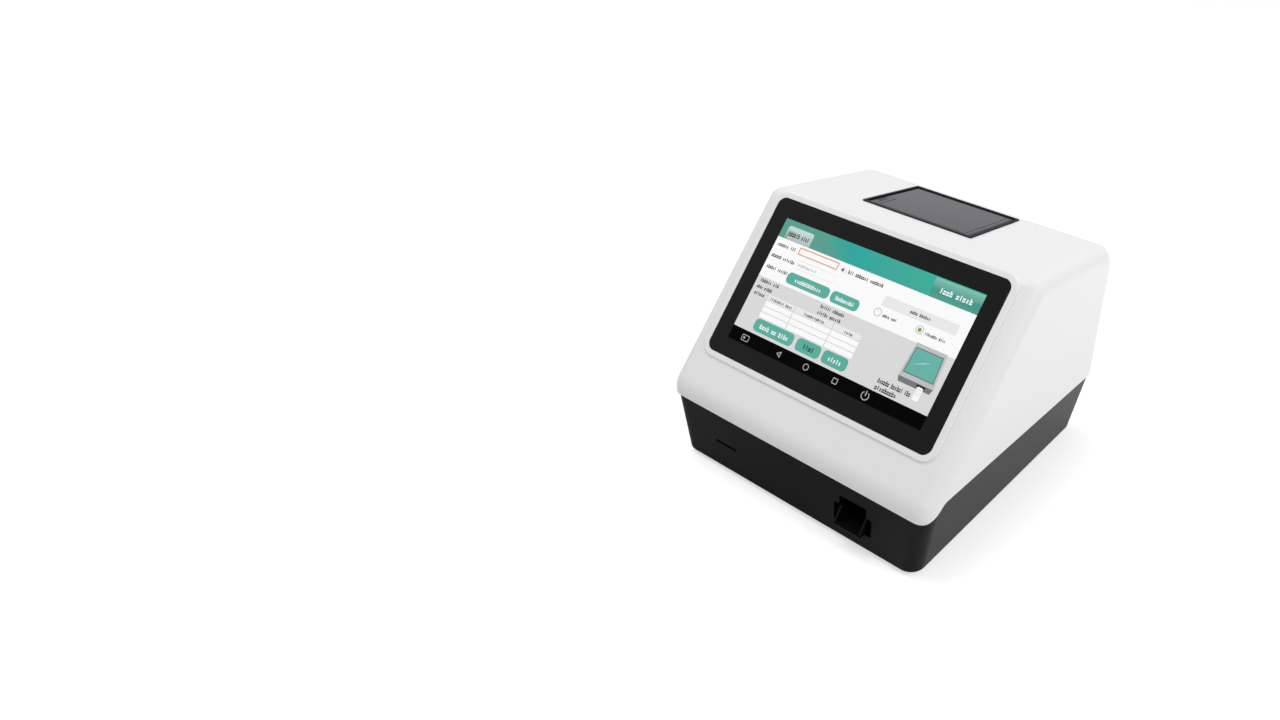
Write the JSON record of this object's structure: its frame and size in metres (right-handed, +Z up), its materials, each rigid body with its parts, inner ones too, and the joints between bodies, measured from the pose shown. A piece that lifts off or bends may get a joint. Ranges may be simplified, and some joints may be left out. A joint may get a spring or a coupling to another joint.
{
  "type": "immunofluorescence analyzer",
  "caption": "Bench immunofluorescence analyzer with a sloping touch screen, a motor driven cassette tray and a ticket printer under a lid in its roof",
  "frame": {"origin": "middle of the footprint with the tray out, on the table under the rubber feet", "axes": "+X to the right seen from the front, +Y to the back, +Z up"},
  "size_m": [0.2438, 0.2563, 0.1882],
  "materials": {
    "white_casing": "satin injection moulded casing, off-white",
    "dark_base": "dark grey moulded base with a fine grain",
    "cover_glass": "black backed touch glass with the display image behind it",
    "display_module": "display module with its backlight tray",
    "sheet_metal": "bare folded aluminium sheet",
    "machined_black": "black anodised aluminium block",
    "ground_steel": "ground and turned steel",
    "bronze": "sintered bronze and brass turned parts",
    "circuit_board": "green solder mask board with black parts",
    "connector_metal": "plated connector shells",
    "black_plastic": "black moulded plastic",
    "printer_plastic": "grey moulded printer lid",
    "gear_plastic": "natural acetal gears",
    "roller_rubber": "ground black rubber",
    "foot_rubber": "moulded rubber feet",
    "tray_plastic": "matt black moulded tray",
    "optical_glass": "polished optical glass",
    "filter_glass": "coated long pass filter glass"
  },
  "bodies": {
    "housing": {"base_shell": "dark_base", "top_shell": "white_casing", "touch_glass": "cover_glass", "lcd_panel": "display_module", "display_frame": "sheet_metal", "main_board": "circuit_board", "display_screws": "ground_steel", "mouth_throat": "black_plastic", "slide_frame": "sheet_metal", "guide_rods": "ground_steel", "screw_bearings": "bronze", "tray_motor": "sheet_metal", "motor_bracket": "sheet_metal", "home_sensor": "black_plastic", "optics_bridge": "sheet_metal", "optical_head": "machined_black", "led_module": "sheet_metal", "objective_lens": "optical_glass", "emission_filter": "filter_glass", "detector_board": "circuit_board", "chip_socket": "black_plastic", "chip_board": "circuit_board", "control_board": "circuit_board", "board_standoffs": "bronze", "board_screws": "ground_steel", "usb_ports": "connector_metal", "lan_port": "connector_metal", "dc_inlet": "black_plastic", "switch_housing": "black_plastic", "speaker": "black_plastic", "rubber_feet": "foot_rubber", "case_screws": "ground_steel", "printer_bezel": "black_plastic", "printer_bucket": "black_plastic", "print_head": "sheet_metal", "head_spring": "ground_steel", "feed_motor": "sheet_metal", "idler_pin": "ground_steel", "lid_hinge_pin": "ground_steel"},
    "cassette_tray": {"cassette_tray": "tray_plastic", "tray_nut": "bronze", "tray_bushes": "bronze"},
    "lead_screw": {"lead_screw": "ground_steel", "screw_coupler": "sheet_metal"},
    "printer_lid": {"printer_lid": "printer_plastic", "tab_pin": "ground_steel"},
    "release_tab": {"release_tab": "black_plastic"},
    "platen": {"platen_roller": "roller_rubber", "platen_shaft": "ground_steel", "platen_gear": "gear_plastic"},
    "idler": {"idler_gear": "gear_plastic"},
    "pinion": {"motor_pinion": "gear_plastic"},
    "power_rocker": {"power_rocker": "black_plastic"}
  },
  "joints": [
    {"name": "tray_slide", "type": "slide", "parent": "housing", "child": "cassette_tray", "axis": [0, 1, 0], "range_m": [0, 0.05]},
    {"name": "lead_screw_spin", "type": "hinge", "parent": "housing", "child": "lead_screw", "pos_m": [0.059, 0, 0.0144], "axis": [0, -1, 0], "range_deg": [0, 4501]},
    {"name": "printer_lid_hinge", "type": "hinge", "parent": "housing", "child": "printer_lid", "pos_m": [0.0375, 0.05939, 0.18], "axis": [0, 0.9975, -0.0708], "range_deg": [0, 92]},
    {"name": "release_tab_hinge", "type": "hinge", "parent": "printer_lid", "child": "release_tab", "pos_m": [-0.0448, 0.04038, 0.18335], "axis": [0, 0.9975, -0.0708], "range_deg": [0, 25], "stiffness_Nm_per_rad": 0.01, "springref_deg": -5.73},
    {"name": "platen_spin", "type": "hinge", "parent": "printer_lid", "child": "platen", "pos_m": [-0.0457, 0.05903, 0.17501], "axis": [0, 0.9975, -0.0708], "continuous": true},
    {"name": "idler_spin", "type": "hinge", "parent": "housing", "child": "idler", "pos_m": [-0.0457, 0.09013, 0.16118], "axis": [0, 0.9975, -0.0708], "continuous": true},
    {"name": "pinion_spin", "type": "hinge", "parent": "housing", "child": "pinion", "pos_m": [-0.03927, 0.08968, 0.15476], "axis": [0, 0.9975, -0.0708], "continuous": true},
    {"name": "power_rocker_tilt", "type": "hinge", "parent": "housing", "child": "power_rocker", "pos_m": [0.034, 0.12521, 0.034], "axis": [0, 0.0637, 0.998], "range_deg": [0, 16]}
  ],
  "couplings": [
    {"joint": "lead_screw_spin", "follows": "tray_slide", "rad_per_m": 1570.8},
    {"joint": "idler_spin", "follows": "platen_spin", "ratio": -0.91667},
    {"joint": "pinion_spin", "follows": "platen_spin", "ratio": 1.8333}
  ]
}
